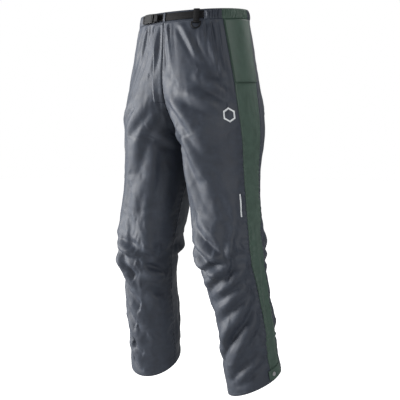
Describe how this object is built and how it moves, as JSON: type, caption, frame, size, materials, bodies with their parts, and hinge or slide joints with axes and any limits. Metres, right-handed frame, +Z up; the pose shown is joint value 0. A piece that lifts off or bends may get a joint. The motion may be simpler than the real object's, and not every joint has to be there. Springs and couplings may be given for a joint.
{
  "type": "waterproof work overtrousers",
  "caption": "Full-length waterproof work overtrousers, elasticated waist with a quick-release webbing belt, lapped side openings and press-stud hem tabs.",
  "frame": {"origin": "middle of the waist opening, at the top edge of the waistband", "axes": "+Z up, the wearer faces -Y, the wearer's left is +X"},
  "size_m": [0.5032, 0.3057, 1.0594],
  "materials": {
    "coated_grey_fabric": "polyurethane-coated woven nylon, soft sheen",
    "coated_green_fabric": "polyurethane-coated woven nylon, soft sheen",
    "black_webbing": "woven polyester webbing",
    "hook_and_loop": "woven nylon hook and loop tape",
    "black_acetal": "moulded acetal, fine satin",
    "snap_metal": "nickel-plated brass press stud",
    "seam_tape": "heat-welded seam tape",
    "knitted_elastic": "knitted elastic band",
    "white_label": "plain satin label, blank",
    "reflective_print": "silver reflective transfer"
  },
  "bodies": {
    "trousers": {"left_front_panel": "coated_grey_fabric", "right_front_panel": "coated_grey_fabric", "left_back_panel": "coated_grey_fabric", "right_back_panel": "coated_grey_fabric", "left_side_panel": "coated_green_fabric", "right_side_panel": "coated_green_fabric", "left_placket": "coated_green_fabric", "right_placket": "coated_green_fabric", "left_loop_strip": "hook_and_loop", "right_loop_strip": "hook_and_loop", "fly_facing": "coated_grey_fabric", "waistband_front": "coated_grey_fabric", "waistband_front_left": "coated_grey_fabric", "waistband_front_right": "coated_grey_fabric", "waistband_left_side": "coated_green_fabric", "waistband_right_side": "coated_green_fabric", "waistband_back": "coated_grey_fabric", "waist_elastic": "knitted_elastic", "belt_webbing": "black_webbing", "centre_belt_loop": "coated_grey_fabric", "buckle_housing": "black_acetal", "d_ring_hanger": "black_webbing", "left_hem_band": "coated_grey_fabric", "right_hem_band": "coated_grey_fabric", "left_snap_stud": "snap_metal", "right_snap_stud": "snap_metal", "crotch_seam_tape": "seam_tape", "left_inseam_tape": "seam_tape", "right_inseam_tape": "seam_tape", "left_side_seam_tapes": "seam_tape", "right_side_seam_tapes": "seam_tape", "care_label": "white_label", "hanging_loop": "black_webbing", "thigh_emblem": "reflective_print", "thigh_bar": "reflective_print"},
    "belt_clip": {"buckle_clip": "black_acetal", "buckle_clip_arms": "black_acetal", "belt_clip_end": "black_webbing"},
    "ring": {"d_ring": "black_acetal"},
    "left_side_flap": {"left_flap": "coated_green_fabric", "left_hook_strip": "hook_and_loop"},
    "right_side_flap": {"right_flap": "coated_green_fabric", "right_hook_strip": "hook_and_loop"},
    "left_tab": {"left_hem_tab": "coated_green_fabric", "left_snap_cap": "snap_metal"},
    "right_tab": {"right_hem_tab": "coated_green_fabric", "right_snap_cap": "snap_metal"}
  },
  "joints": [
    {"name": "buckle_release", "type": "slide", "parent": "trousers", "child": "belt_clip", "axis": [0.9749, -0.2227, 0], "range_m": [0, 0.026], "deforming": ["buckle_clip_arms"]},
    {"name": "d_ring_swing", "type": "hinge", "parent": "trousers", "child": "ring", "pos_m": [0.09745, -0.11196, -0.04155], "axis": [-0.8836, -0.4683, 0], "range_deg": [0, 110]},
    {"name": "left_flap_open", "type": "hinge", "parent": "trousers", "child": "left_side_flap", "pos_m": [0.16867, -0.05697, -0.11795], "axis": [0.196, 0.0343, -0.98], "range_deg": [0, 90]},
    {"name": "right_flap_open", "type": "hinge", "parent": "trousers", "child": "right_side_flap", "pos_m": [-0.16867, -0.05697, -0.11795], "axis": [0.196, -0.0343, 0.98], "range_deg": [0, 90]},
    {"name": "left_hem_tab_lift", "type": "hinge", "parent": "trousers", "child": "left_tab", "pos_m": [0.2455, 0.07074, -0.97114], "axis": [-0.0848, -0.2251, 0.9706], "range_deg": [0, 100]},
    {"name": "right_hem_tab_lift", "type": "hinge", "parent": "trousers", "child": "right_tab", "pos_m": [-0.23951, 0.05894, -0.9519], "axis": [-0.1446, 0.2211, -0.9645], "range_deg": [0, 100]}
  ]
}
